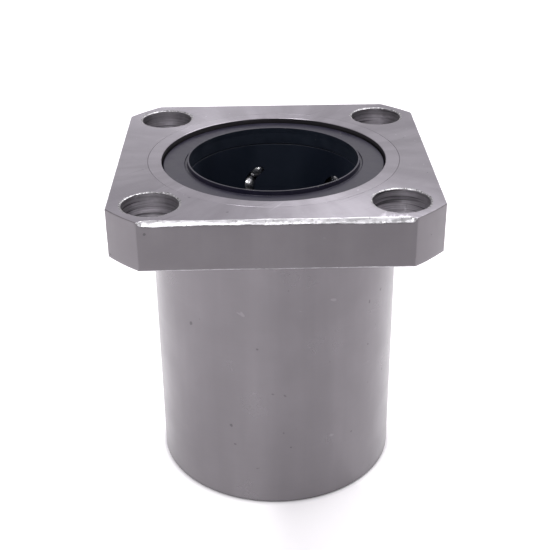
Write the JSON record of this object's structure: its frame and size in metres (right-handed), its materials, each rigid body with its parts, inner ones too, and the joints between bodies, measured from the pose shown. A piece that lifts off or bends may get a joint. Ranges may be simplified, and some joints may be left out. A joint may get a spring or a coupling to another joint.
{
  "type": "linear ball bushing",
  "caption": "Linear ball bushing with a square mounting flange at one end, rubber seals at both ends, and loops of balls that roll between the sleeve and a sliding shaft.",
  "frame": {"origin": "centre of the sleeve's plain end, on the axis of the shaft", "axes": "+Z runs along the shaft from the plain end to the flanged end; X and Y are square to the flange's flats"},
  "size_m": [0.064, 0.064, 0.07],
  "materials": {
    "flange_steel": "ground, with fine scratches",
    "sleeve_steel": "hardened and ground",
    "resin": "moulded, satin",
    "seal_rubber": "moulded, matt",
    "spring_steel": "dull",
    "ball_steel": "polished"
  },
  "bodies": {
    "shell": {"square_flange": "flange_steel", "outer_sleeve": "sleeve_steel", "ball_retainer": "resin", "bottom_snap_ring": "spring_steel", "top_snap_ring": "spring_steel", "bottom_seal": "seal_rubber", "top_seal": "seal_rubber"},
    "load_row_1": {"load_row_1": "ball_steel"},
    "return_row_1": {"return_row_1": "ball_steel"},
    "top_turn_1": {"top_turn_ball_1a": "ball_steel", "top_turn_ball_1b": "ball_steel", "top_turn_ball_1c": "ball_steel"},
    "bottom_turn_1": {"bottom_turn_ball_1a": "ball_steel", "bottom_turn_ball_1b": "ball_steel", "bottom_turn_ball_1c": "ball_steel"},
    "load_row_2": {"load_row_2": "ball_steel"},
    "return_row_2": {"return_row_2": "ball_steel"},
    "top_turn_2": {"top_turn_ball_2a": "ball_steel", "top_turn_ball_2b": "ball_steel", "top_turn_ball_2c": "ball_steel"},
    "bottom_turn_2": {"bottom_turn_ball_2a": "ball_steel", "bottom_turn_ball_2b": "ball_steel", "bottom_turn_ball_2c": "ball_steel"},
    "load_row_3": {"load_row_3": "ball_steel"},
    "return_row_3": {"return_row_3": "ball_steel"},
    "top_turn_3": {"top_turn_ball_3a": "ball_steel", "top_turn_ball_3b": "ball_steel", "top_turn_ball_3c": "ball_steel"},
    "bottom_turn_3": {"bottom_turn_ball_3a": "ball_steel", "bottom_turn_ball_3b": "ball_steel", "bottom_turn_ball_3c": "ball_steel"},
    "load_row_4": {"load_row_4": "ball_steel"},
    "return_row_4": {"return_row_4": "ball_steel"},
    "top_turn_4": {"top_turn_ball_4a": "ball_steel", "top_turn_ball_4b": "ball_steel", "top_turn_ball_4c": "ball_steel"},
    "bottom_turn_4": {"bottom_turn_ball_4a": "ball_steel", "bottom_turn_ball_4b": "ball_steel", "bottom_turn_ball_4c": "ball_steel"},
    "load_row_5": {"load_row_5": "ball_steel"},
    "return_row_5": {"return_row_5": "ball_steel"},
    "top_turn_5": {"top_turn_ball_5a": "ball_steel", "top_turn_ball_5b": "ball_steel", "top_turn_ball_5c": "ball_steel"},
    "bottom_turn_5": {"bottom_turn_ball_5a": "ball_steel", "bottom_turn_ball_5b": "ball_steel", "bottom_turn_ball_5c": "ball_steel"},
    "load_row_6": {"load_row_6": "ball_steel"},
    "return_row_6": {"return_row_6": "ball_steel"},
    "top_turn_6": {"top_turn_ball_6a": "ball_steel", "top_turn_ball_6b": "ball_steel", "top_turn_ball_6c": "ball_steel"},
    "bottom_turn_6": {"bottom_turn_ball_6a": "ball_steel", "bottom_turn_ball_6b": "ball_steel", "bottom_turn_ball_6c": "ball_steel"}
  },
  "joints": [
    {"name": "load_row_1_travel", "type": "slide", "parent": "shell", "child": "load_row_1", "axis": [0, 0, 1], "range_m": [-0.00035, 0.00382]},
    {"name": "return_row_1_travel", "type": "slide", "parent": "shell", "child": "return_row_1", "axis": [0, 0, 1], "range_m": [-0.00382, 0.00035]},
    {"name": "top_turn_1_roll", "type": "hinge", "parent": "shell", "child": "top_turn_1", "pos_m": [0.0161, 0.01168, 0.05584], "axis": [0.6756, 0.7373, 0], "range_deg": [-5.05, 55.05]},
    {"name": "bottom_turn_1_roll", "type": "hinge", "parent": "shell", "child": "bottom_turn_1", "pos_m": [0.0161, 0.01168, 0.01416], "axis": [0.6756, 0.7373, 0], "range_deg": [-5.05, 55.05]},
    {"name": "load_row_2_travel", "type": "slide", "parent": "shell", "child": "load_row_2", "axis": [0, 0, 1], "range_m": [-0.00035, 0.00382]},
    {"name": "return_row_2_travel", "type": "slide", "parent": "shell", "child": "return_row_2", "axis": [0, 0, 1], "range_m": [-0.00382, 0.00035]},
    {"name": "top_turn_2_roll", "type": "hinge", "parent": "shell", "child": "top_turn_2", "pos_m": [-0.00206, 0.01978, 0.05584], "axis": [-0.3007, 0.9537, 0], "range_deg": [-5.05, 55.05]},
    {"name": "bottom_turn_2_roll", "type": "hinge", "parent": "shell", "child": "bottom_turn_2", "pos_m": [-0.00206, 0.01978, 0.01416], "axis": [-0.3007, 0.9537, 0], "range_deg": [-5.05, 55.05]},
    {"name": "load_row_3_travel", "type": "slide", "parent": "shell", "child": "load_row_3", "axis": [0, 0, 1], "range_m": [-0.00035, 0.00382]},
    {"name": "return_row_3_travel", "type": "slide", "parent": "shell", "child": "return_row_3", "axis": [0, 0, 1], "range_m": [-0.00382, 0.00035]},
    {"name": "top_turn_3_roll", "type": "hinge", "parent": "shell", "child": "top_turn_3", "pos_m": [-0.01816, 0.0081, 0.05584], "axis": [-0.9763, 0.2164, 0], "range_deg": [-5.05, 55.05]},
    {"name": "bottom_turn_3_roll", "type": "hinge", "parent": "shell", "child": "bottom_turn_3", "pos_m": [-0.01816, 0.0081, 0.01416], "axis": [-0.9763, 0.2164, 0], "range_deg": [-5.05, 55.05]},
    {"name": "load_row_4_travel", "type": "slide", "parent": "shell", "child": "load_row_4", "axis": [0, 0, 1], "range_m": [-0.00035, 0.00382]},
    {"name": "return_row_4_travel", "type": "slide", "parent": "shell", "child": "return_row_4", "axis": [0, 0, 1], "range_m": [-0.00382, 0.00035]},
    {"name": "top_turn_4_roll", "type": "hinge", "parent": "shell", "child": "top_turn_4", "pos_m": [-0.0161, -0.01168, 0.05584], "axis": [-0.6756, -0.7373, 0], "range_deg": [-5.05, 55.05]},
    {"name": "bottom_turn_4_roll", "type": "hinge", "parent": "shell", "child": "bottom_turn_4", "pos_m": [-0.0161, -0.01168, 0.01416], "axis": [-0.6756, -0.7373, 0], "range_deg": [-5.05, 55.05]},
    {"name": "load_row_5_travel", "type": "slide", "parent": "shell", "child": "load_row_5", "axis": [0, 0, 1], "range_m": [-0.00035, 0.00382]},
    {"name": "return_row_5_travel", "type": "slide", "parent": "shell", "child": "return_row_5", "axis": [0, 0, 1], "range_m": [-0.00382, 0.00035]},
    {"name": "top_turn_5_roll", "type": "hinge", "parent": "shell", "child": "top_turn_5", "pos_m": [0.00206, -0.01978, 0.05584], "axis": [0.3007, -0.9537, 0], "range_deg": [-5.05, 55.05]},
    {"name": "bottom_turn_5_roll", "type": "hinge", "parent": "shell", "child": "bottom_turn_5", "pos_m": [0.00206, -0.01978, 0.01416], "axis": [0.3007, -0.9537, 0], "range_deg": [-5.05, 55.05]},
    {"name": "load_row_6_travel", "type": "slide", "parent": "shell", "child": "load_row_6", "axis": [0, 0, 1], "range_m": [-0.00035, 0.00382]},
    {"name": "return_row_6_travel", "type": "slide", "parent": "shell", "child": "return_row_6", "axis": [0, 0, 1], "range_m": [-0.00382, 0.00035]},
    {"name": "top_turn_6_roll", "type": "hinge", "parent": "shell", "child": "top_turn_6", "pos_m": [0.01816, -0.0081, 0.05584], "axis": [0.9763, -0.2164, 0], "range_deg": [-5.05, 55.05]},
    {"name": "bottom_turn_6_roll", "type": "hinge", "parent": "shell", "child": "bottom_turn_6", "pos_m": [0.01816, -0.0081, 0.01416], "axis": [0.9763, -0.2164, 0], "range_deg": [-5.05, 55.05]}
  ],
  "couplings": [
    {"joint": "return_row_1_travel", "follows": "load_row_1_travel", "ratio": -1},
    {"joint": "top_turn_1_roll", "follows": "load_row_1_travel", "rad_per_m": 251.26},
    {"joint": "bottom_turn_1_roll", "follows": "load_row_1_travel", "rad_per_m": 251.26},
    {"joint": "return_row_2_travel", "follows": "load_row_2_travel", "ratio": -1},
    {"joint": "top_turn_2_roll", "follows": "load_row_2_travel", "rad_per_m": 251.26},
    {"joint": "bottom_turn_2_roll", "follows": "load_row_2_travel", "rad_per_m": 251.26},
    {"joint": "return_row_3_travel", "follows": "load_row_3_travel", "ratio": -1},
    {"joint": "top_turn_3_roll", "follows": "load_row_3_travel", "rad_per_m": 251.26},
    {"joint": "bottom_turn_3_roll", "follows": "load_row_3_travel", "rad_per_m": 251.26},
    {"joint": "return_row_4_travel", "follows": "load_row_4_travel", "ratio": -1},
    {"joint": "top_turn_4_roll", "follows": "load_row_4_travel", "rad_per_m": 251.26},
    {"joint": "bottom_turn_4_roll", "follows": "load_row_4_travel", "rad_per_m": 251.26},
    {"joint": "return_row_5_travel", "follows": "load_row_5_travel", "ratio": -1},
    {"joint": "top_turn_5_roll", "follows": "load_row_5_travel", "rad_per_m": 251.26},
    {"joint": "bottom_turn_5_roll", "follows": "load_row_5_travel", "rad_per_m": 251.26},
    {"joint": "return_row_6_travel", "follows": "load_row_6_travel", "ratio": -1},
    {"joint": "top_turn_6_roll", "follows": "load_row_6_travel", "rad_per_m": 251.26},
    {"joint": "bottom_turn_6_roll", "follows": "load_row_6_travel", "rad_per_m": 251.26}
  ]
}
